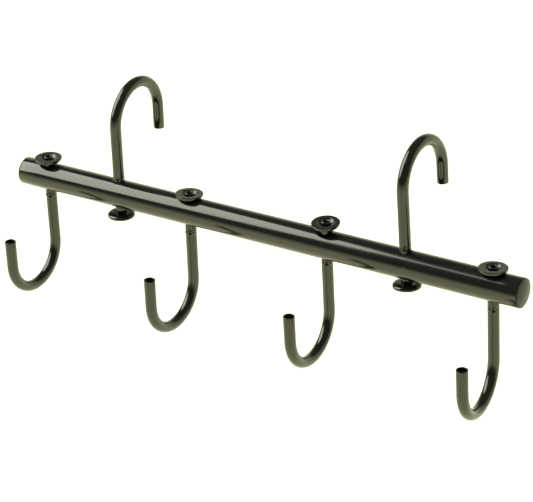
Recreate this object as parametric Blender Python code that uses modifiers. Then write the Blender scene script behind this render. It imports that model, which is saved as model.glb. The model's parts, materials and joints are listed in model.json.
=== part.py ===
"""Hanging tack rack: a steel bar with four swivel hooks under it and two swivel hanger hooks above it.

+X runs along the bar, -Y is the front and +Z is up. The origin is where a rail would lie in the crowns of the
hanger hooks, midway between them. Sizes are in metres.
"""
import math

import bmesh
import bpy
from mathutils import Matrix

# Bar and its end plugs
BAR_LENGTH = 0.508
BAR_DIAMETER = 0.0254
BAR_WALL = 0.0016
PLUG_DOME = 0.0030
PLUG_FLANGE = 0.0008
PLUG_SLEEVE = 0.018
PLUG_WALL = 0.0016
PLUG_RIBS = 3
PLUG_RIB_HEIGHT = 0.0008
PLUG_RIB_WIDTH = 0.0014

# Hooks, all bent from one size of tube
HOOK_DIAMETER = 0.010
HOOK_WALL = 0.0012
BEND_RADIUS = 0.0325
LOWER_SHANK = 0.0785
HANGER_SHANK = 0.0807

# Shank end, peened over inside the washer
SPIGOT_DIAMETER = 0.0066
SPIGOT_BORE = 0.0046
SPIGOT_ROOT = 0.002
LIP_CATCH = 0.0005
LIP_STAND = 0.0012

# Dished washer that carries each hook
WASHER_DIAMETER = 0.0246
WASHER_HEIGHT = 0.0038
WASHER_EDGE = 0.0011
WASHER_FLOOR = 0.0012
RECESS_DIAMETER = 0.0154
WASHER_BASE = 0.0160

# Staked ears that stop a shank sliding out of the bar
EAR_HEIGHT = 0.0024
EAR_WIDTH = 0.0036
EAR_CATCH = 0.0005
EAR_ANGLE = math.radians(-112)

CLEARANCE = 0.0003
AXIAL_PLAY = 0.0055

# Places along the bar
END_MARGIN = 0.0260
INNER_SPREAD = 0.1410
HANGER_SPREAD = 0.2950
OUTER = BAR_LENGTH / 2 - END_MARGIN
INNER = INNER_SPREAD / 2
HANGER = HANGER_SPREAD / 2

# Each hook as it rests: place, turn about its shank and lean along the bar in degrees, the share of the axial
# play by which its washer stands off the bar, and the length of its straight tip, which is cut by hand
LOWER_HOOKS = {
    "1": (-OUTER, 2.0, 1.5, 0.35, 0.0255),
    "2": (-INNER, 0.5, 1.5, 0.0, 0.0270),
    "3": (INNER, 1.5, 0.0, 0.76, 0.0245),
    "4": (OUTER, 5.0, -0.5, 0.0, 0.0225),
}
HANGER_HOOKS = {
    "left": (-HANGER, 1.0, 1.5, 1.0, 0.0230),
    "right": (HANGER, -0.5, -1.5, 0.64, 0.0170),
}

BAR_STEPS = 40
TURNED_STEPS = 24
BEND_STEPS = 14
TUBE_RESOLUTION = 4
BORE_RESOLUTION = 2
OVERRUN = 0.004

BAR_RADIUS = BAR_DIAMETER / 2
HOOK_RADIUS = HOOK_DIAMETER / 2
STEEPEST_LEAN = max(abs(lean) for _, _, lean, _, _ in [*LOWER_HOOKS.values(), *HANGER_HOOKS.values()])
HOLE_RADIUS = HOOK_RADIUS + BAR_RADIUS * math.tan(math.radians(STEEPEST_LEAN)) + CLEARANCE
EAR_RADIUS = HOLE_RADIUS + EAR_CATCH
LIP_RADIUS = SPIGOT_DIAMETER / 2 + CLEARANCE + LIP_CATCH
SEAT = BAR_RADIUS + CLEARANCE
RAIL_HEIGHT = HANGER_SHANK - AXIAL_PLAY - SEAT + BEND_RADIUS - HOOK_RADIUS
BAR_PLACE = (0.0, -BEND_RADIUS, -RAIL_HEIGHT)


def clear_scene():
    for item in list(bpy.data.objects):
        bpy.data.objects.remove(item, do_unlink=True)


def new_collection(name):
    made = bpy.data.collections.new(name)
    bpy.context.scene.collection.children.link(made)
    return made


def material(name, colour, roughness, metallic):
    made = bpy.data.materials.new(name)
    made.use_nodes = True
    shader = made.node_tree.nodes["Principled BSDF"]
    shader.inputs["Base Color"].default_value = (*colour, 1.0)
    shader.inputs["Roughness"].default_value = roughness
    shader.inputs["Metallic"].default_value = metallic
    made.diffuse_color = (*colour, 1.0)
    return made


def evaluated_mesh(item):
    """The mesh of a curve or of an object with its modifiers, with its caps and seams closed."""
    seen = item.evaluated_get(bpy.context.evaluated_depsgraph_get())
    mesh = bpy.data.meshes.new_from_object(seen)
    work = bmesh.new()
    work.from_mesh(mesh)
    bmesh.ops.remove_doubles(work, verts=work.verts, dist=1e-6)
    work.to_mesh(mesh)
    work.free()
    return mesh


def finish_mesh(mesh, finish):
    """Gives a mesh its material, and rounds its shading between its sharp edges."""
    mesh.materials.clear()
    mesh.materials.append(finish)
    mesh.shade_smooth()
    mesh.set_sharp_from_angle(angle=math.radians(35))


def add_piece(name, mesh, home):
    piece = bpy.data.objects.new(name, mesh)
    home.objects.link(piece)
    return piece


def hide_tool(item):
    item.hide_render = True
    item.display_type = "WIRE"


def turned_mesh(profile, steps, closed):
    """A profile of (radius, height) turned about Z, as a mesh."""
    outline = bpy.data.meshes.new("profile")
    count = len(profile)
    edges = [(i, (i + 1) % count) for i in range(count if closed else count - 1)]
    outline.from_pydata([(radius, 0.0, height) for radius, height in profile], edges, [])
    blank = bpy.data.objects.new("profile", outline)
    bpy.context.scene.collection.objects.link(blank)
    turn = blank.modifiers.new("Turn", "SCREW")
    turn.steps = steps
    turn.render_steps = steps
    turn.use_merge_vertices = True
    turn.merge_threshold = 1e-6
    bpy.context.view_layer.update()
    mesh = evaluated_mesh(blank)
    bpy.data.objects.remove(blank, do_unlink=True)
    return mesh


def swept_mesh(points, radius, resolution):
    """A round bar of the given radius along a line of points, as a mesh with closed ends."""
    curve = bpy.data.curves.new("path", "CURVE")
    curve.dimensions = "3D"
    curve.bevel_depth = radius
    curve.bevel_resolution = resolution
    curve.use_fill_caps = True
    line = curve.splines.new("POLY")
    line.points.add(len(points) - 1)
    for spot, place in zip(line.points, points):
        spot.co = (*place, 1.0)
    wire = bpy.data.objects.new("path", curve)
    bpy.context.scene.collection.objects.link(wire)
    bpy.context.view_layer.update()
    mesh = evaluated_mesh(wire)
    mesh.transform(wire.matrix_world)
    bpy.data.objects.remove(wire, do_unlink=True)
    return mesh


def rod_mesh(radius, low, high, steps):
    """A plain cylinder along Z from one height to another."""
    work = bmesh.new()
    bmesh.ops.create_cone(work, cap_ends=True, segments=steps, radius1=radius, radius2=radius, depth=high - low)
    bmesh.ops.translate(work, verts=work.verts, vec=(0.0, 0.0, (low + high) / 2))
    mesh = bpy.data.meshes.new("rod")
    work.to_mesh(mesh)
    work.free()
    return mesh


def combine(item, operation, mesh, tools, name):
    """Joins a mesh to an object, or cuts it away, through a live Boolean in the object's own frame."""
    tool = bpy.data.objects.new(name, mesh)
    tool.matrix_world = item.matrix_world
    tools.objects.link(tool)
    hide_tool(tool)
    step = item.modifiers.new(name, "BOOLEAN")
    step.operation = operation
    step.solver = "EXACT"
    step.object = tool


def make_bar(finish, home, tools):
    """The tube, lying along X, with a hole through both its walls for each shank."""
    inner = BAR_RADIUS - BAR_WALL
    half = BAR_LENGTH / 2
    profile = [(BAR_RADIUS, half), (BAR_RADIUS, -half), (inner, -half), (inner, half)]
    mesh = turned_mesh(profile, BAR_STEPS, closed=True)
    mesh.transform(Matrix.Rotation(math.radians(90), 4, "Y"))
    finish_mesh(mesh, finish)
    bar = add_piece("bar_tube", mesh, home)
    bar.location = BAR_PLACE
    bpy.context.view_layer.update()
    for label, (along, *_) in [*LOWER_HOOKS.items(), *HANGER_HOOKS.items()]:
        drill = rod_mesh(HOLE_RADIUS, -BAR_DIAMETER, BAR_DIAMETER, TURNED_STEPS)
        drill.transform(Matrix.Translation((along, 0.0, 0.0)))
        combine(bar, "DIFFERENCE", drill, tools, f"hole_{label}")


def plug_profile():
    """Half section of an end plug: domed outside, ribbed sleeve inside the tube, hollow from its inner end."""
    sleeve = BAR_RADIUS - BAR_WALL - CLEARANCE
    core = sleeve - PLUG_RIB_HEIGHT
    rim = BAR_RADIUS - CLEARANCE
    shoulder = CLEARANCE + PLUG_FLANGE
    dome = []
    for step in range(7):
        angle = math.radians(90 - 15 * step)
        dome.append((rim * math.cos(angle), shoulder + (PLUG_DOME - shoulder) * math.sin(angle)))
    dome[0] = (0.0, PLUG_DOME)
    ribs = []
    pitch = PLUG_SLEEVE / (PLUG_RIBS + 1)
    for count in range(1, PLUG_RIBS + 1):
        height = -pitch * count
        ribs.append((core, height + PLUG_RIB_WIDTH))
        ribs.append((sleeve, height + PLUG_RIB_WIDTH / 2))
        ribs.append((sleeve, height - PLUG_RIB_WIDTH / 2))
        ribs.append((core, height - PLUG_RIB_WIDTH))
    hollow = core - PLUG_WALL
    inside = [(core, -PLUG_SLEEVE), (hollow, -PLUG_SLEEVE), (hollow, CLEARANCE), (0.0, CLEARANCE)]
    return [*dome, (rim, CLEARANCE), (core, CLEARANCE), *ribs, *inside]


def make_plugs(finish, home):
    for name, side in (("end_plug_left", -1), ("end_plug_right", 1)):
        mesh = turned_mesh(plug_profile(), TURNED_STEPS, closed=False)
        mesh.transform(Matrix.Rotation(math.radians(90 * side), 4, "Y"))
        finish_mesh(mesh, finish)
        plug = add_piece(name, mesh, home)
        plug.location = (side * BAR_LENGTH / 2, BAR_PLACE[1], BAR_PLACE[2])


def hook_path(shank, tip, start, end):
    """Centre line of a hook: down the shank, round the half-circle to the front and up the tip."""
    points = [(0.0, 0.0, start)]
    for step in range(BEND_STEPS + 1):
        angle = math.pi * step / BEND_STEPS
        across = -BEND_RADIUS + BEND_RADIUS * math.cos(angle)
        points.append((0.0, across, -shank - BEND_RADIUS * math.sin(angle)))
    points.append((0.0, -2 * BEND_RADIUS, -shank + tip + end))
    return points


def ear_mesh(angle):
    """A lump raised on the shank by a punch, just past where the far wall of the bar stops it."""
    work = bmesh.new()
    bmesh.ops.create_uvsphere(work, u_segments=10, v_segments=6, radius=1.0)
    depth = EAR_RADIUS - HOOK_RADIUS + HOOK_WALL / 2
    bmesh.ops.scale(work, verts=work.verts, vec=(depth, EAR_WIDTH / 2, EAR_HEIGHT / 2))
    drop = BAR_DIAMETER + 2 * CLEARANCE + AXIAL_PLAY + EAR_HEIGHT / 2
    place = Matrix.Translation((EAR_RADIUS - depth, 0.0, -drop))
    work.transform(Matrix.Rotation(angle, 4, "Z") @ place)
    mesh = bpy.data.meshes.new("ear")
    work.to_mesh(mesh)
    work.free()
    return mesh


def hook_mesh(shank, tip, ear_angle, tools, label):
    """A whole hook: bent tube, bored through, with its peened spigot at the top and two ears on the shank."""
    top = -CLEARANCE
    blank_mesh = swept_mesh(hook_path(shank, tip, top, 0.0), HOOK_RADIUS, TUBE_RESOLUTION)
    blank = bpy.data.objects.new("blank", blank_mesh)
    tools.objects.link(blank)
    lip = WASHER_FLOOR + CLEARANCE
    peak = WASHER_HEIGHT + LIP_STAND
    spigot = [
        (0.0, peak),
        (LIP_RADIUS, peak),
        (LIP_RADIUS, lip),
        (SPIGOT_DIAMETER / 2, lip),
        (SPIGOT_DIAMETER / 2, top - SPIGOT_ROOT / 2),
        (0.0, top - SPIGOT_ROOT / 2),
    ]
    combine(blank, "UNION", turned_mesh(spigot, TURNED_STEPS, closed=False), tools, f"spigot_{label}")
    for side in range(2):
        combine(blank, "UNION", ear_mesh(ear_angle + math.pi * side), tools, f"ear_{label}_{side + 1}")
    bore_path = hook_path(shank, tip, top - SPIGOT_ROOT, OVERRUN)
    bore = swept_mesh(bore_path, HOOK_RADIUS - HOOK_WALL, BORE_RESOLUTION)
    combine(blank, "DIFFERENCE", bore, tools, f"bore_{label}")
    drill = rod_mesh(SPIGOT_BORE / 2, top - SPIGOT_ROOT - OVERRUN, peak + OVERRUN, TURNED_STEPS // 2)
    combine(blank, "DIFFERENCE", drill, tools, f"spigot_bore_{label}")
    bpy.context.view_layer.update()
    mesh = evaluated_mesh(blank)
    for step in list(blank.modifiers):
        bpy.data.objects.remove(step.object, do_unlink=True)
    bpy.data.objects.remove(blank, do_unlink=True)
    return mesh


def washer_profile():
    """Section of a dished washer, its base at height 0: flat rim, hollow round the spigot, rounded back."""
    rim = WASHER_DIAMETER / 2
    base = WASHER_BASE / 2
    hole = SPIGOT_DIAMETER / 2 + CLEARANCE
    bowl = RECESS_DIAMETER / 2
    floor = LIP_RADIUS + CLEARANCE
    back = WASHER_HEIGHT - WASHER_EDGE
    rounded = []
    for step in range(5):
        angle = math.radians(22.5 * step)
        rounded.append((base + (rim - base) * math.cos(angle), back - back * math.sin(angle)))
    return [
        (bowl, WASHER_HEIGHT),
        (rim, WASHER_HEIGHT),
        *rounded,
        (hole, 0.0),
        (hole, WASHER_FLOOR),
        (floor, WASHER_FLOOR),
    ]


def make_hooks(kind, hooks, shank, finish, home, tools):
    """One washer and one hook at each station of the bar; hanger hooks stand the other way up."""
    upright = kind == "lower"
    ear_angle = EAR_ANGLE if upright else -EAR_ANGLE
    ring = turned_mesh(washer_profile(), TURNED_STEPS, closed=True)
    finish_mesh(ring, finish)
    for label, (along, turn, lean, share, tip) in hooks.items():
        shape = hook_mesh(shank, tip, ear_angle, tools, f"{kind}_{label}")
        finish_mesh(shape, finish)
        station = bpy.data.objects.new(f"station_{kind}_{label}", None)
        station.location = (along, BAR_PLACE[1], BAR_PLACE[2])
        station.rotation_euler = (0.0, math.radians(lean), 0.0)
        home.objects.link(station)
        height = SEAT + AXIAL_PLAY * share
        for name, mesh in ((f"{kind}_washer_{label}", ring), (f"{kind}_hook_{label}", shape)):
            piece = add_piece(name, mesh, home)
            piece.parent = station
            piece.location = (0.0, 0.0, height if upright else -height)
            piece.rotation_euler = (0.0 if upright else math.pi, 0.0, math.radians(turn))


def main():
    clear_scene()
    home = new_collection("swivel_hook_tack_rack")
    tools = new_collection("cutters")
    bar_enamel = material("bar_enamel", (0.020, 0.022, 0.016), 0.18, 0.0)
    hook_enamel = material("hook_enamel", (0.020, 0.022, 0.016), 0.20, 0.0)
    plug_plastic = material("plug_plastic", (0.022, 0.022, 0.020), 0.38, 0.0)
    make_bar(bar_enamel, home, tools)
    make_plugs(plug_plastic, home)
    make_hooks("lower", LOWER_HOOKS, LOWER_SHANK, hook_enamel, home, tools)
    make_hooks("hanger", HANGER_HOOKS, HANGER_SHANK, hook_enamel, home, tools)


main()
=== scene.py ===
"""Finished look of a hanging tack rack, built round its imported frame.

The rack is an enamelled steel tube with four swivel hooks under it, two swivel hanger hooks above it, and a
moulded plug in each end. Every operator below makes one group of like pieces. +X runs along the bar, -Y is
the front and +Z is up. Sizes are in metres.
"""

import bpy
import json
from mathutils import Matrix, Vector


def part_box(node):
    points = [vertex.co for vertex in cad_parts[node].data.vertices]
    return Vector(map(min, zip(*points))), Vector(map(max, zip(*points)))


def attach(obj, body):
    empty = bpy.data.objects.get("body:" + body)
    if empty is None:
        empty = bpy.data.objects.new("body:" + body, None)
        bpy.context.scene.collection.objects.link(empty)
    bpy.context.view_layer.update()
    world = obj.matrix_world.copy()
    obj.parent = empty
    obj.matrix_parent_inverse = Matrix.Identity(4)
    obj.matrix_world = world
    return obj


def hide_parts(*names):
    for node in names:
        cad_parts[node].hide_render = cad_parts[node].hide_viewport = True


bl_info = {
    "name": "Swivel Hook Tack Rack",
    "version": (1, 0, 0),
    "blender": (4, 5, 0),
    "location": "3D View > Sidebar > Tack Rack",
    "description": "Builds the finished pieces of a hanging tack rack round its packed frame",
    "category": "Object",
}

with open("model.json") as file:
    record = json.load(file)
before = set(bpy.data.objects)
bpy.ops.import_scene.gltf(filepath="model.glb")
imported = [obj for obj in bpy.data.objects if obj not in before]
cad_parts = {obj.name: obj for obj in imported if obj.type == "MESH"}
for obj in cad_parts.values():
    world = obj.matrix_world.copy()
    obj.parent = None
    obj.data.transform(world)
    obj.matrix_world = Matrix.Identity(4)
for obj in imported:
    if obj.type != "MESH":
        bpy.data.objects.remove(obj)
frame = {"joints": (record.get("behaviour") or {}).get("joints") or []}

import json
import math

import bmesh
import bpy
from bpy.props import FloatProperty, FloatVectorProperty, IntProperty, PointerProperty
from mathutils import Matrix, Vector

JOINTS = {joint["name"]: joint for joint in frame["joints"]}
BAR_LOW, BAR_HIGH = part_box("bar_tube")
BAR_CENTRE = (BAR_LOW + BAR_HIGH) / 2
LOWER_LABELS = ("1", "2", "3", "4")
HANGER_LABELS = ("left", "right")
WELD = 1e-6

# Edges that bend more than this are rounded, and faces that meet at more than the second stay sharp.
ROUNDED_FROM = math.radians(40)
SHARP_FROM = math.radians(50)

# A ring of edges this many roundings inside a rounded edge keeps the flat beside it flat.
SUPPORT = 2.5

# How far the washer's bowl curves up from its floor, in degrees.
BOWL_SWEEP = 60

# The first rings down a shank under the washer, and the fine rings round its stake.
COLLAR = -0.004
COLLAR_STEP = 0.008
FINE_REACH = 0.0042
FINE_STEP = 0.00028
FINE_RINGS = 31

# A stake: how far it reaches up and down, the part of the shank's radius that it moves, a mark's squeeze in
# height and overall, the raised rim round a mark in mark radii, and burr and rim as shares of the ear.
STAKE_REACH = 0.005
STAKE_BAND = (0.5, 1.01)
MARK_HEIGHT = 0.9
MARK_SQUEEZE = 0.92
RIM_PLACE = 1.12
RIM_SPREAD = 0.22
BURR_SHARE = 0.5
RIM_SHARE = 0.2

# How much rougher the smeared enamel and the worn plastic are than the clean ones.
ENAMEL_SMEAR = 0.05
PLASTIC_WEAR = 0.08

# Where the room's paper fades in: down to the ground, round to the wall behind, and down its height.
GROUND_FADE = (0.08, -0.30)
BEHIND_FADE = (0.05, 0.45)
WALL_FADE = (0.56, 0.22)
ROOM_BLUE = 0.9
OVERHEAD_SPREAD = math.radians(70)


def length(name, description, default):
    """A setting that is a length in metres."""
    return FloatProperty(name=name, description=description, default=default, min=0.0, precision=5,
                         subtype="DISTANCE", unit="LENGTH")


def angle(name, description, degrees):
    """A setting that is an angle, given in degrees."""
    return FloatProperty(name=name, description=description, default=math.radians(degrees),
                         subtype="ANGLE", unit="ROTATION")


def angles(name, description, degrees):
    """A setting that holds an angle for each of a few like pieces."""
    return FloatVectorProperty(name=name, description=description, size=len(degrees), unit="ROTATION",
                               default=[math.radians(part) for part in degrees])


def lengths(name, description, default):
    """A setting that holds a length for each of a few like pieces."""
    return FloatVectorProperty(name=name, description=description, size=len(default), default=default,
                               min=0.0, precision=5, unit="LENGTH")


def point(name, description, default):
    """A setting that is a point in space."""
    return FloatVectorProperty(name=name, description=description, size=3, default=default,
                               subtype="TRANSLATION", unit="LENGTH")


def direction(name, description, default):
    """A setting that is a direction."""
    return FloatVectorProperty(name=name, description=description, size=3, default=default,
                               subtype="DIRECTION")


def power(name, description, default):
    """A setting that is a lamp's power in watts."""
    return FloatProperty(name=name, description=description, default=default, min=0.0, subtype="POWER",
                         unit="POWER")


def colour(name, description, default):
    """A setting that is a linear colour."""
    return FloatVectorProperty(name=name, description=description, default=default, size=3, min=0.0,
                               max=1.0, subtype="COLOR")


def share(name, description, default):
    """A setting from 0 to 1."""
    return FloatProperty(name=name, description=description, default=default, min=0.0, max=1.0,
                         subtype="FACTOR")


def number(name, description, default):
    """A plain number of 0 or more."""
    return FloatProperty(name=name, description=description, default=default, min=0.0)


def count(name, description, default, least):
    """A whole number of steps, sides or ribs."""
    return IntProperty(name=name, description=description, default=default, min=least)


class BarSettings(bpy.types.PropertyGroup):
    """Sizes of the bar's tube."""
    diameter: length("Diameter", "Outside of the tube", BAR_HIGH.z - BAR_LOW.z)
    wall: length("Wall", "Thickness of the tube's wall", 0.0016)
    hole: length("Hole", "Diameter of the holes for the shanks", 0.011266)
    rim: length("Rim rounding", "Rounding of the tube's cut ends", 0.0003)
    sides: count("Sides", "Flats round the tube", 128, 24)
    patch: length("Fine patch", "Half length of the finely divided stretch round each hole", 0.0080)
    patch_step: length("Patch step", "Spacing of the rings in a fine patch", 0.0010)


class PlugSettings(bpy.types.PropertyGroup):
    """Sizes of the moulded end plugs."""
    gap: length("Seam", "Gap between plug and tube", 0.0003)
    dome: length("Dome", "How far the domed face stands out", 0.0030)
    flange: length("Flange", "Straight edge under the dome", 0.0008)
    sleeve: length("Sleeve", "Length of the part inside the tube", 0.018)
    wall: length("Wall", "Thickness of the sleeve", 0.0016)
    rib: length("Rib height", "How far each rib stands out of the sleeve", 0.0008)
    rib_width: length("Rib width", "Width of a rib at its foot", 0.0028)
    ribs: count("Ribs", "Gripping ribs round the sleeve", 3, 1)
    sides: count("Sides", "Steps of the turned shape", 96, 24)


class WasherSettings(bpy.types.PropertyGroup):
    """Sizes of the dished washers."""
    diameter: length("Diameter", "Outside of the washer", 0.0246)
    height: length("Height", "From its seat to the top of its rim", 0.0038)
    edge: length("Edge", "Thickness of the rim", 0.0011)
    bowl: length("Bowl", "Diameter of the hollow in its face", 0.0154)
    bowl_floor: length("Bowl floor", "Diameter of the flat in the hollow", 0.0088)
    floor: length("Floor", "Thickness under the hollow", 0.0012)
    base: length("Base", "Diameter of the flat base on the bar", 0.0160)
    hole: length("Hole", "Diameter of the hole for the spigot", 0.0072)
    rounding: length("Rounding", "Rounding of its edges", 0.00028)
    lower_tilts: angles("Lower tilts", "How far each lower washer tips in its play", (0.0, -3.2, 3.2, -3.0))
    hanger_tilts: angles("Hanger tilts", "How far each hanger washer tips in its play", (0.0, -2.0))
    sides: count("Sides", "Steps of the turned shape", 96, 24)


class HookSettings(bpy.types.PropertyGroup):
    """Sizes of the bent hooks and of their riveted ends."""
    diameter: length("Tube", "Outside of the tube", 0.010)
    wall: length("Wall", "Thickness of the tube's wall", 0.0012)
    bend: length("Bend radius", "Radius of the centre line of the bend", 0.0325)
    lower_shank: length("Lower shank", "Straight part of a lower hook", 0.0785)
    lower_tips: lengths("Lower tips", "Straight end of each lower hook", (0.0255, 0.0270, 0.0245, 0.0225))
    hanger_shank: length("Hanger shank", "Straight part of a hanger hook", 0.0807)
    hanger_tips: lengths("Hanger tips", "Straight end of each hanger hook", (0.0230, 0.0170))
    seat: length("Seat", "From the bar's axis to a washer that lies on the bar", 0.0130)
    gap: length("Gap", "Running gap at the seat", 0.0003)
    spigot: length("Spigot", "Diameter of the reduced end", 0.0066)
    bore: length("Spigot bore", "Hole down the spigot", 0.0046)
    root: length("Spigot root", "Depth at which the bore widens", 0.0023)
    lip: length("Lip", "Diameter of the peened lip", 0.0082)
    lip_foot: length("Lip foot", "Height of the lip's underside", 0.0015)
    lip_top: length("Lip top", "Height of the lip's top", 0.0050)
    lip_crown: length("Lip crown", "Height of the lip's rounded top", 0.0016)
    rim: length("Rim rounding", "Rounding of the tube's cut end", 0.00032)
    lower_turns: angles("Lower turns", "How far each lower hook is turned at rest", (2.0, 0.5, 1.5, 5.0))
    hanger_turns: angles("Hanger turns", "How far each hanger hook is turned at rest", (1.0, -0.5))
    stake_drop: length("Stake", "From the washer's seat to the staked stop", 0.0327)
    stake_angle: angle("Stake angle", "Where round the shank the punch went in", -66.0)
    ear_swing: angle("Ear swing", "From the punch mark to its raised ear", -46.0)
    ear: length("Ear", "Height of the raised ear", 0.00113)
    ear_reach: length("Ear reach", "Half width of the raised ear", 0.0020)
    burr_reach: length("Burr reach", "Half width of the small burr across the punch mark", 0.0014)
    dent: length("Dent", "Depth of the punch mark", 0.00110)
    dent_radius: length("Dent radius", "Radius of the punch mark", 0.00185)
    sides: count("Sides", "Flats round the tube", 96, 24)
    bend_steps: count("Bend steps", "Steps round the bend", 48, 12)


class FinishSettings(bpy.types.PropertyGroup):
    """Colours and gloss of the finishes."""
    enamel: colour("Enamel", "Stove enamel on bar and hooks", (0.0036, 0.0052, 0.0046))
    enamel_light: colour("Enamel, thin", "Enamel where it is a little thinner", (0.0056, 0.0070, 0.0056))
    enamel_tint: colour("Enamel gloss", "Tint of the enamel's reflections", (1.0, 1.0, 0.82))
    enamel_index: number("Enamel index", "Refractive index of the enamel", 1.65)
    bar_gloss: share("Bar roughness", "Roughness of the clean enamel on the bar", 0.11)
    hook_gloss: share("Hook roughness", "Roughness of the clean enamel on the hooks", 0.07)
    dust: colour("Dust", "Fine specks caught in the enamel", (0.24, 0.22, 0.14))
    plastic: colour("Plug plastic", "Moulded end plugs", (0.0070, 0.0078, 0.0062))
    plastic_index: number("Plug index", "Refractive index of the plastic", 1.4)
    plastic_gloss: share("Plug roughness", "Roughness of the moulded plastic", 0.30)
    floor: colour("Floor", "Pale studio floor", (0.82, 0.83, 0.61))


class StageSettings(bpy.types.PropertyGroup):
    """Floor, lights and camera."""
    floor_drop: length("Floor drop", "From the rail's height down to the floor", 1.10)
    floor_radius: length("Floor radius", "Radius of the round floor", 3.7)
    softbox_place: point("Softbox", "Middle of the softbox", (-1.391, -0.510, 0.783))
    softbox_faces: direction("Softbox faces", "Direction in which it shines", (0.5576, 0.3525, -0.7516))
    softbox_width: length("Softbox width", "Along the horizon", 1.66)
    softbox_height: length("Softbox height", "Across the horizon", 1.96)
    softbox_power: power("Softbox power", "Power of the round softbox", 40.0)
    board_place: point("Board", "Middle of the reflector board", (-0.515, -0.726, 1.369))
    board_faces: direction("Board faces", "Direction in which it shines", (0.5576, 0.3525, -0.7516))
    board_width: length("Board width", "Along the horizon", 0.46)
    board_height: length("Board height", "Across the horizon", 0.36)
    board_power: power("Board power", "Power of the dim reflector board", 0.75)
    fill: number("Fill", "Broad overhead light on the floor", 5.0)
    dark: share("Room", "Brightness of the unlit room", 0.11)
    pale: number("Paper", "Brightness of the paper far from the rack", 1.5)
    wall: number("Wall", "Brightness of the paper behind the rack", 1.0)
    azimuth: angle("Azimuth", "Camera's turn about the rack", 34.66)
    elevation: angle("Elevation", "Camera's height above the horizon", 27.23)
    roll: angle("Roll", "Camera's roll", -3.25)
    distance: length("Distance", "From the camera to its target", 1.7440)
    focal: FloatProperty(name="Lens", description="Focal length", default=136.37, unit="CAMERA")
    target: point("Target", "Point in the middle of the view", (0.0086, -0.0325, -0.1108))


# Shapes


def arc(centre, across, up, start, end, steps):
    """Points of an ellipse's arc in a (radius, height) outline, from one angle to another in degrees."""
    points = []
    for step in range(steps + 1):
        turn = math.radians(start + (end - start) * step / steps)
        points.append((centre[0] + across * math.cos(turn), centre[1] + up * math.sin(turn)))
    return points


def turn_outline(outline, steps, closed):
    """A bmesh turned about Z from an outline of (radius, height) corners."""
    work = bmesh.new()
    corners = [work.verts.new((radius, 0.0, height)) for radius, height in outline]
    ends = corners[1:] + corners[:1] if closed else corners[1:]
    edges = [work.edges.new(pair) for pair in zip(corners, ends)]
    bmesh.ops.spin(work, geom=[*corners, *edges], cent=(0, 0, 0), axis=(0, 0, 1), angle=math.tau, steps=steps,
                   use_merge=True)
    bmesh.ops.remove_doubles(work, verts=work.verts, dist=WELD)
    return work


def open_edges(work):
    """The edges with a face on one side only."""
    return [edge for edge in work.edges if edge.is_boundary]


def ends_of(edges):
    """The corners that some edges run between."""
    return list({vert for edge in edges for vert in edge.verts})


def draw_out(work, edges, shift):
    """Draws open loops of edges out by a shift."""
    made = bmesh.ops.extrude_edge_only(work, edges=edges)["geom"]
    corners = [part for part in made if isinstance(part, bmesh.types.BMVert)]
    bmesh.ops.translate(work, verts=corners, vec=shift)


def soften(work, width):
    """Rounds every sharp edge by a width."""
    between = [edge for edge in work.edges if len(edge.link_faces) == 2]
    sharp = [edge for edge in between if edge.calc_face_angle() > ROUNDED_FROM]
    bmesh.ops.bevel(work, geom=sharp, offset=width, offset_type="OFFSET", segments=3, profile=0.5,
                    affect="EDGES", clamp_overlap=True, material=-1)


def turn_faces_out(work):
    """Points every face outwards."""
    bmesh.ops.recalc_face_normals(work, faces=work.faces)


def mesh_from(work, name):
    """A mesh of that name from a bmesh, which is used up."""
    mesh = bpy.data.meshes.new(name)
    work.to_mesh(mesh)
    work.free()
    return mesh


def washer_mesh(s):
    """Dished washer, its base at height 0: flat rim, round bowl, rounded back."""
    rim = s.diameter / 2
    bowl = s.bowl / 2
    flat = s.bowl_floor / 2
    base = s.base / 2
    back = s.height - s.edge
    inset = SUPPORT * s.rounding
    across = (bowl - flat) / math.cos(math.radians(BOWL_SWEEP))
    deep = (s.height - s.floor) / (1 - math.sin(math.radians(BOWL_SWEEP)))
    outline = [
        *arc((flat, s.floor + deep), across, deep, -90, -BOWL_SWEEP, 12),
        (bowl + inset, s.height),
        (rim - inset, s.height),
        (rim, s.height),
        *arc((base, back), rim - base, back, 0, -90, 14),
        (s.hole / 2 + inset, 0.0),
        (s.hole / 2, 0.0),
        (s.hole / 2, s.floor),
    ]
    work = turn_outline(outline, s.sides, closed=True)
    soften(work, s.rounding)
    turn_faces_out(work)
    return mesh_from(work, "washer")


def plug_mesh(s, bar):
    """End plug on Z: domed face outside, ribbed sleeve inside the tube, hollow from its inner end."""
    sleeve = bar.diameter / 2 - bar.wall - s.gap
    core = sleeve - s.rib
    rim = bar.diameter / 2 - s.gap
    shoulder = s.gap + s.flange
    rise = s.dome - shoulder
    ball = (rim * rim + rise * rise) / (2 * rise)
    edge = math.degrees(math.acos(rim / ball))
    dome = arc((0.0, s.dome - ball), ball, ball, 90, edge, 20)
    dome[0] = (0.0, s.dome)
    ribs = []
    for rank in range(1, s.ribs + 1):
        middle = -s.sleeve * rank / (s.ribs + 1)
        ribs.append((core, middle + s.rib_width / 2))
        ribs.append((sleeve, middle + s.rib_width / 4))
        ribs.append((sleeve, middle - s.rib_width / 4))
        ribs.append((core, middle - s.rib_width / 2))
    hollow = core - s.wall
    inside = [(core, -s.sleeve), (hollow, -s.sleeve), (hollow, s.gap), (0.0, s.gap)]
    work = turn_outline([*dome, (rim, s.gap), (core, s.gap), *ribs, *inside], s.sides, closed=False)
    soften(work, bar.rim)
    turn_faces_out(work)
    return mesh_from(work, "plug")


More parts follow.
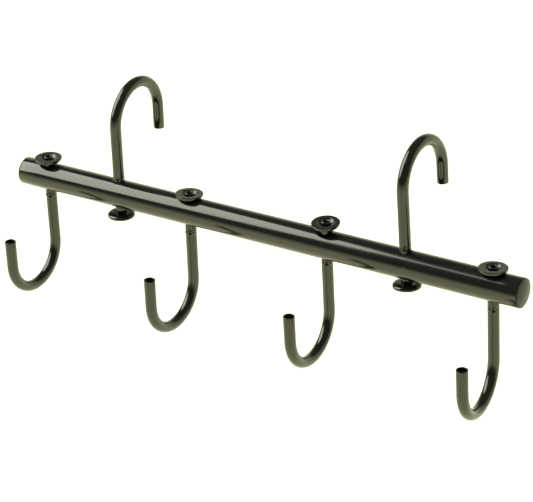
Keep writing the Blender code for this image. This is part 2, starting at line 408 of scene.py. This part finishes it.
def bar_mesh(s):
    """The bar's tube along X, with a hole through both walls for each shank."""
    places = [JOINTS[name]["pos_m"][0] for name in JOINTS if "swivel" in name]
    stops = {BAR_LOW.x, BAR_HIGH.x}
    for place in places:
        for step in range(round(2 * s.patch / s.patch_step) + 1):
            stops.add(place - s.patch + step * s.patch_step)
    stops = sorted(stops)
    outer = [(s.diameter / 2, stop) for stop in stops]
    inner = [(s.diameter / 2 - s.wall, stop) for stop in reversed(stops)]
    work = turn_outline(outer + inner, s.sides, closed=True)
    soften(work, s.rim)
    lying = Matrix.Translation((0, BAR_CENTRE.y, BAR_CENTRE.z)) @ Matrix.Rotation(math.pi / 2, 4, "Y")
    bmesh.ops.transform(work, verts=work.verts, matrix=lying)
    turn_faces_out(work)
    tube = bpy.data.objects.new("bar_blank", mesh_from(work, "bar"))
    bpy.context.scene.collection.objects.link(tube)
    drills = []
    for place in places:
        work = bmesh.new()
        bmesh.ops.create_cone(work, cap_ends=True, segments=s.sides, radius1=s.hole / 2, radius2=s.hole / 2,
                              depth=2 * s.diameter)
        bmesh.ops.translate(work, verts=work.verts, vec=(place, BAR_CENTRE.y, BAR_CENTRE.z))
        drill = bpy.data.objects.new("drill", mesh_from(work, "drill"))
        bpy.context.scene.collection.objects.link(drill)
        cut = tube.modifiers.new("Hole", "BOOLEAN")
        cut.operation = "DIFFERENCE"
        cut.solver = "EXACT"
        cut.object = drill
        drills.append(drill)
    bpy.context.view_layer.update()
    mesh = bpy.data.meshes.new_from_object(tube.evaluated_get(bpy.context.evaluated_depsgraph_get()))
    for blank in (*drills, tube):
        bpy.data.objects.remove(blank, do_unlink=True)
    return mesh


def swelling(reach):
    """A round swelling: 1 in the middle, 0 at a reach of 1 and beyond."""
    return (1.0 - reach * reach) ** 2 if reach < 1.0 else 0.0


def stake(work, s, hand):
    """Punches the stops into a shank: on each side a round mark, with a high ear and a low burr beside it."""
    radius = s.diameter / 2
    for vert in work.verts:
        height = vert.co.z + s.stake_drop
        out = math.hypot(vert.co.x, vert.co.y)
        if abs(height) > STAKE_REACH or not STAKE_BAND[0] < out / radius < STAKE_BAND[1]:
            continue
        push = 0.0
        for side in (0.0, math.pi):
            swing = math.remainder(math.atan2(vert.co.y, vert.co.x) * hand - s.stake_angle - side, math.tau)
            mark = math.hypot(radius * swing, height * MARK_HEIGHT) / s.dent_radius
            ear = math.hypot(radius * (swing - s.ear_swing) / s.ear_reach, height / s.ear_reach)
            burr = math.hypot(radius * (swing + s.ear_swing) / s.burr_reach,
                              (height + s.burr_reach / 2) / s.burr_reach)
            rim = math.exp(-((mark - RIM_PLACE) / RIM_SPREAD) ** 2)
            raised = swelling(ear) + BURR_SHARE * swelling(burr) + RIM_SHARE * rim
            push += s.ear * raised - s.dent * swelling(mark * MARK_SQUEEZE)
        grow = 1.0 + min(push, s.ear) / out
        vert.co.x *= grow
        vert.co.y *= grow


def hook_mesh(s, shank, tip, hand):
    """A hook hanging from its seat at height 0: riveted end, shank, half circle to the front, open tip."""
    radius = s.diameter / 2
    inner = radius - s.wall
    spigot = s.spigot / 2
    bore = s.bore / 2
    lip = s.lip / 2
    crown = (lip + bore) / 2
    swell = s.lip_top - s.lip_crown
    outline = [
        (radius, -s.gap),
        (spigot, -s.gap),
        (spigot, s.lip_foot),
        (lip, s.lip_foot),
        *arc((crown, swell), lip - crown, s.lip_top - swell, 0, 180, 12),
        (bore, -s.root),
        (inner, -s.root),
    ]
    work = turn_outline(outline, s.sides, closed=False)
    for edge in open_edges(work):
        edge.tag = edge.verts[0].co.z < -s.root / 2
    low = [edge for edge in open_edges(work) if edge.tag]
    high = [edge for edge in open_edges(work) if not edge.tag]
    draw_out(work, low, (0, 0, COLLAR + s.root))
    draw_out(work, high, (0, 0, COLLAR + s.gap))
    upper = [COLLAR - COLLAR_STEP * step for step in range(3)]
    fine = [-s.stake_drop + FINE_REACH - FINE_STEP * step for step in range(FINE_RINGS)]
    heights = [*upper, *fine, (fine[-1] - shank) / 2, -shank]
    for here, there in zip(heights, heights[1:]):
        draw_out(work, open_edges(work), (0, 0, there - here))
    rims = open_edges(work)
    bmesh.ops.spin(work, geom=[*ends_of(rims), *rims], cent=(0, -s.bend, -shank), axis=(-1, 0, 0),
                   angle=math.pi, steps=s.bend_steps)
    for part in range(2):
        draw_out(work, open_edges(work), (0, 0, tip / 2))
    bmesh.ops.bridge_loops(work, edges=open_edges(work))
    soften(work, s.rim)
    stake(work, s, hand)
    turn_faces_out(work)
    return mesh_from(work, "hook")


def rest_place(kind, label, turn, s):
    """Where a hook's own axes lie at rest: on its swivel, at the height that its washer has there."""
    swivel = JOINTS[f"{kind}_swivel_{label}"]
    low, high = JOINTS[f"{kind}_lift_{label}"]["range_m"]
    lean = math.atan2(swivel["axis"][0], swivel["axis"][2])
    upright = kind == "lower"
    height = s.seat - low if upright else -(s.seat + high)
    over = Matrix.Identity(4) if upright else Matrix.Rotation(math.pi, 4, "X")
    return (Matrix.Translation(swivel["pos_m"]) @ Matrix.Rotation(lean, 4, "Y")
            @ Matrix.Translation((0, 0, height)) @ Matrix.Rotation(turn, 4, "Z") @ over)


def add_piece(name, mesh, place, finish, body, node):
    """Puts a finished mesh in its place, and lets it stand for its node of the frame."""
    mesh.transform(place)
    mesh.materials.clear()
    mesh.materials.append(finish)
    mesh.shade_smooth()
    mesh.set_sharp_from_angle(angle=SHARP_FROM)
    piece = bpy.data.objects.new(name, mesh)
    bpy.context.scene.collection.objects.link(piece)
    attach(piece, body)
    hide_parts(node)


# Finishes


def new_finish(name):
    """A material with its node tree and its surface shader."""
    finish = bpy.data.materials.new(name)
    finish.use_nodes = True
    return finish, finish.node_tree, finish.node_tree.nodes["Principled BSDF"]


def noise(tree, scale, detail=3.0, roughness=0.5):
    """A noise pattern of that many grains to the metre, on Object coordinates."""
    place = tree.nodes.new("ShaderNodeTexCoord")
    pattern = tree.nodes.new("ShaderNodeTexNoise")
    pattern.inputs["Scale"].default_value = scale
    pattern.inputs["Detail"].default_value = detail
    pattern.inputs["Roughness"].default_value = roughness
    tree.links.new(place.outputs["Object"], pattern.inputs["Vector"])
    return pattern.outputs["Fac"]


def remap(tree, value, low, high, to_low, to_high):
    """A value's range stretched to another and held at its ends."""
    step = tree.nodes.new("ShaderNodeMapRange")
    for socket, number in zip(("From Min", "From Max", "To Min", "To Max"), (low, high, to_low, to_high)):
        step.inputs[socket].default_value = number
    tree.links.new(value, step.inputs["Value"])
    return step.outputs["Result"]


def blend_colours(tree, factor, first, second):
    """One colour or another by a factor. Each may be a plain colour or a socket."""
    mix = tree.nodes.new("ShaderNodeMix")
    mix.data_type = "RGBA"
    sockets = [socket for socket in mix.inputs if socket.type == "RGBA"]
    for socket, source in zip(sockets, (first, second)):
        if isinstance(source, bpy.types.NodeSocket):
            tree.links.new(source, socket)
        else:
            socket.default_value = (*source, 1.0)
    tree.links.new(factor, mix.inputs["Factor"])
    return [socket for socket in mix.outputs if socket.type == "RGBA"][0]


def bump(tree, height, strength, distance, under=None):
    """Relief from a height pattern, over another relief if one is given."""
    step = tree.nodes.new("ShaderNodeBump")
    step.inputs["Strength"].default_value = strength
    step.inputs["Distance"].default_value = distance
    tree.links.new(height, step.inputs["Height"])
    if under is not None:
        tree.links.new(under, step.inputs["Normal"])
    return step.outputs["Normal"]


def make_enamel(name, s):
    """Glossy stove enamel: olive-black, with slight orange peel, uneven film and a few specks of dust."""
    finish, tree, shader = new_finish(name)
    film = remap(tree, noise(tree, 26.0, 4.0), 0.35, 0.70, 0.0, 1.0)
    specks = remap(tree, noise(tree, 620.0, 1.0), 0.80, 0.84, 0.0, 1.0)
    body = blend_colours(tree, film, s.enamel, s.enamel_light)
    tree.links.new(blend_colours(tree, specks, body, s.dust), shader.inputs["Base Color"])
    smears = noise(tree, 55.0, 5.0, 0.6)
    gloss = s.bar_gloss if name.startswith("bar") else s.hook_gloss
    tree.links.new(remap(tree, smears, 0.30, 0.75, gloss, gloss + ENAMEL_SMEAR), shader.inputs["Roughness"])
    peel = bump(tree, noise(tree, 420.0, 2.0), 0.25, 0.00002)
    tree.links.new(bump(tree, specks, 0.4, 0.00004, peel), shader.inputs["Normal"])
    shader.inputs["Specular Tint"].default_value = (*s.enamel_tint, 1.0)
    shader.inputs["IOR"].default_value = s.enamel_index
    return finish


def make_plastic(name, s):
    """Satin moulded plastic with a fine spark-eroded grain."""
    finish, tree, shader = new_finish(name)
    worn = remap(tree, noise(tree, 90.0, 4.0), 0.3, 0.7, 0.0, 1.0)
    lighter = [min(1.0, 1.5 * part) for part in s.plastic]
    tree.links.new(blend_colours(tree, worn, s.plastic, lighter), shader.inputs["Base Color"])
    handled = noise(tree, 240.0, 3.0)
    tree.links.new(remap(tree, handled, 0.3, 0.7, s.plastic_gloss, s.plastic_gloss + PLASTIC_WEAR),
                   shader.inputs["Roughness"])
    tree.links.new(bump(tree, noise(tree, 2600.0, 2.0), 0.3, 0.00003), shader.inputs["Normal"])
    shader.inputs["Specular Tint"].default_value = (*s.enamel_tint, 1.0)
    shader.inputs["IOR"].default_value = s.plastic_index
    return finish


def make_paper(name, s):
    """Matt pale floor with a faint mottle."""
    finish, tree, shader = new_finish(name)
    mottle = noise(tree, 3.0, 6.0)
    duller = [0.97 * part for part in s.floor]
    tree.links.new(blend_colours(tree, mottle, s.floor, duller), shader.inputs["Base Color"])
    tree.links.new(remap(tree, mottle, 0.3, 0.7, 0.85, 0.95), shader.inputs["Roughness"])
    shader.inputs["Specular IOR Level"].default_value = 0.0
    return finish


def finish_named(name, maker):
    """The finish of that name, made the first time that it is asked for."""
    found = bpy.data.materials.get(name)
    return found if found else maker(name, bpy.context.scene.rack_finish)


# Stage


def facing(aim):
    """Turns an object's -Z to an aim, with its X level."""
    back = -Vector(aim).normalized()
    right = Vector((0, 0, 1)).cross(back).normalized()
    return Matrix((right, back.cross(right), back)).transposed().to_4x4()


def add_panel(name, middle, faces, size, watts):
    """A round softbox or board. It only shows in gloss, so the floor stays evenly lit."""
    lamp = bpy.data.lights.new(name, "AREA")
    lamp.shape = "ELLIPSE"
    lamp.size, lamp.size_y = size
    lamp.energy = watts
    holder = bpy.data.objects.new(name, lamp)
    holder.matrix_world = Matrix.Translation(middle) @ facing(faces)
    holder.visible_diffuse = False
    bpy.context.scene.collection.objects.link(holder)


def add_fill(strength):
    """Broad light from overhead that doesn't show in the enamel."""
    lamp = bpy.data.lights.new("overhead_fill", "SUN")
    lamp.energy = strength
    lamp.angle = OVERHEAD_SPREAD
    holder = bpy.data.objects.new("overhead_fill", lamp)
    holder.visible_glossy = False
    bpy.context.scene.collection.objects.link(holder)


def add_floor(s):
    """The round studio floor, well below the rack."""
    work = bmesh.new()
    bmesh.ops.create_circle(work, cap_ends=True, segments=128, radius=s.floor_radius)
    bmesh.ops.translate(work, verts=work.verts, vec=(0, 0, -s.floor_drop))
    mesh = mesh_from(work, "studio_floor")
    mesh.materials.append(finish_named("pale_paper", make_paper))
    floor = bpy.data.objects.new("studio_floor", mesh)
    bpy.context.scene.collection.objects.link(floor)


def add_room(s, paper):
    """A dim room above the horizon, with pale paper below it and some way up behind the rack."""
    world = bpy.data.worlds.new("studio_room")
    bpy.context.scene.world = world
    world.use_nodes = True
    tree = world.node_tree
    place = tree.nodes.new("ShaderNodeTexCoord")
    parts = tree.nodes.new("ShaderNodeSeparateXYZ")
    tree.links.new(place.outputs["Generated"], parts.inputs[0])
    ground = remap(tree, parts.outputs["Z"], *GROUND_FADE, 0.0, 1.0)
    behind = remap(tree, parts.outputs["Y"], *BEHIND_FADE, 0.0, s.wall / s.pale)
    below = remap(tree, parts.outputs["Z"], *WALL_FADE, 0.0, 1.0)
    wall = tree.nodes.new("ShaderNodeMath")
    wall.operation = "MULTIPLY"
    tree.links.new(behind, wall.inputs[0])
    tree.links.new(below, wall.inputs[1])
    either = tree.nodes.new("ShaderNodeMath")
    either.operation = "MAXIMUM"
    tree.links.new(ground, either.inputs[0])
    tree.links.new(wall.outputs[0], either.inputs[1])
    unlit = (s.dark, s.dark, s.dark * ROOM_BLUE)
    lit = [s.pale * part / max(paper) for part in paper]
    tone = blend_colours(tree, either.outputs[0], unlit, lit)
    shader = tree.nodes["Background"]
    tree.links.new(tone, shader.inputs["Color"])
    shader.inputs["Strength"].default_value = 1.0


def add_camera(s):
    """The camera at its azimuth, elevation and roll about its target."""
    turn, rise = s.azimuth, s.elevation
    back = Vector((math.sin(turn) * math.cos(rise), -math.cos(turn) * math.cos(rise), math.sin(rise)))
    lens = bpy.data.cameras.new("camera")
    lens.lens = s.focal
    lens.sensor_width = 36.0
    lens.clip_end = 100.0
    holder = bpy.data.objects.new("camera", lens)
    holder.matrix_world = (Matrix.Translation(Vector(s.target) + s.distance * back) @ facing(-back)
                           @ Matrix.Rotation(s.roll, 4, "Z"))
    bpy.context.scene.collection.objects.link(holder)
    bpy.context.scene.camera = holder


# Operators


class RACK_OT_bar(bpy.types.Operator):
    """Makes the enamelled tube of the bar."""
    bl_idname = "rack.bar"
    bl_label = "Bar"

    def execute(self, context):
        finish = finish_named("bar_enamel_gloss", make_enamel)
        mesh = bar_mesh(context.scene.rack_bar)
        add_piece("bar", mesh, Matrix.Identity(4), finish, "bar", "bar_tube")
        return {"FINISHED"}


class RACK_OT_plugs(bpy.types.Operator):
    """Makes the moulded plug in each end of the bar."""
    bl_idname = "rack.plugs"
    bl_label = "End plugs"

    def execute(self, context):
        finish = finish_named("plug_plastic_satin", make_plastic)
        shape = plug_mesh(context.scene.rack_plug, context.scene.rack_bar)
        for side, end, way in (("left", BAR_LOW.x, -1), ("right", BAR_HIGH.x, 1)):
            place = (Matrix.Translation((end, BAR_CENTRE.y, BAR_CENTRE.z))
                     @ Matrix.Rotation(way * math.pi / 2, 4, "Y"))
            add_piece(f"plug_{side}", shape.copy(), place, finish, "bar", f"end_plug_{side}")
        return {"FINISHED"}


class RACK_OT_washers(bpy.types.Operator):
    """Makes the dished washer that carries each hook."""
    bl_idname = "rack.washers"
    bl_label = "Washers"

    def execute(self, context):
        finish = finish_named("hook_enamel_gloss", make_enamel)
        hook = context.scene.rack_hook
        s = context.scene.rack_washer
        shape = washer_mesh(s)
        lower = ("lower", zip(LOWER_LABELS, s.lower_tilts))
        hanger = ("hanger", zip(HANGER_LABELS, s.hanger_tilts))
        for kind, washers in (lower, hanger):
            for label, tilt in washers:
                node = f"{kind}_washer_{label}"
                place = rest_place(kind, label, 0.0, hook) @ Matrix.Rotation(tilt, 4, "X")
                add_piece(f"{kind}_dish_{label}", shape.copy(), place, finish, node, node)
        return {"FINISHED"}


class RACK_OT_hooks(bpy.types.Operator):
    """Makes the four lower hooks and the two hanger hooks."""
    bl_idname = "rack.hooks"
    bl_label = "Hooks"

    def execute(self, context):
        finish = finish_named("hook_enamel_gloss", make_enamel)
        s = context.scene.rack_hook
        lower = ("lower", 1, s.lower_shank, zip(LOWER_LABELS, s.lower_tips, s.lower_turns))
        hanger = ("hanger", -1, s.hanger_shank, zip(HANGER_LABELS, s.hanger_tips, s.hanger_turns))
        for kind, hand, shank, hooks in (lower, hanger):
            for label, tip, turn in hooks:
                node = f"{kind}_hook_{label}"
                mesh = hook_mesh(s, shank, tip, hand)
                place = rest_place(kind, label, turn, s)
                add_piece(f"{kind}_crook_{label}", mesh, place, finish, node, node)
        return {"FINISHED"}


class RACK_OT_stage(bpy.types.Operator):
    """Makes the floor, the room, the lights and the camera."""
    bl_idname = "rack.stage"
    bl_label = "Stage"

    def execute(self, context):
        s = context.scene.rack_stage
        add_floor(s)
        add_room(s, context.scene.rack_finish.floor)
        add_panel("softbox", s.softbox_place, s.softbox_faces, (s.softbox_width, s.softbox_height),
                  s.softbox_power)
        add_panel("reflector_board", s.board_place, s.board_faces, (s.board_width, s.board_height),
                  s.board_power)
        add_fill(s.fill)
        add_camera(s)
        context.scene.view_settings.view_transform = "Standard"
        return {"FINISHED"}


def list_settings(box, group):
    """Lists a group's settings in a box of the panel."""
    for name in group.bl_rna.properties.keys():
        if name not in ("rna_type", "name"):
            box.prop(group, name)


class RACK_PT_panel(bpy.types.Panel):
    """Lists the rack's makers and their settings."""
    bl_idname = "RACK_PT_panel"
    bl_label = "Tack Rack"
    bl_space_type = "VIEW_3D"
    bl_region_type = "UI"
    bl_category = "Tack Rack"

    def draw(self, context):
        for settings, maker in SECTIONS:
            box = self.layout.box()
            box.operator(maker.bl_idname)
            list_settings(box, getattr(context.scene, settings))
        finishes = self.layout.box()
        finishes.label(text="Finishes")
        list_settings(finishes, context.scene.rack_finish)


SETTINGS = {
    "rack_bar": BarSettings,
    "rack_plug": PlugSettings,
    "rack_washer": WasherSettings,
    "rack_hook": HookSettings,
    "rack_finish": FinishSettings,
    "rack_stage": StageSettings,
}
SECTIONS = (
    ("rack_bar", RACK_OT_bar),
    ("rack_plug", RACK_OT_plugs),
    ("rack_washer", RACK_OT_washers),
    ("rack_hook", RACK_OT_hooks),
    ("rack_stage", RACK_OT_stage),
)
CLASSES = (*SETTINGS.values(), *(maker for _, maker in SECTIONS), RACK_PT_panel)


def register():
    """Registers the classes and hangs the settings on the scene."""
    for item in CLASSES:
        bpy.utils.register_class(item)
    for name, group in SETTINGS.items():
        setattr(bpy.types.Scene, name, PointerProperty(type=group))


def unregister():
    """Takes the settings and the classes away again."""
    for name in SETTINGS:
        delattr(bpy.types.Scene, name)
    for item in reversed(CLASSES):
        bpy.utils.unregister_class(item)


def main():
    """Makes the whole rack in order."""
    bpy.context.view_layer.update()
    register()
    bpy.ops.rack.bar()
    bpy.ops.rack.plugs()
    bpy.ops.rack.washers()
    bpy.ops.rack.hooks()
    bpy.ops.rack.stage()


if __name__ == "__main__":
    main()
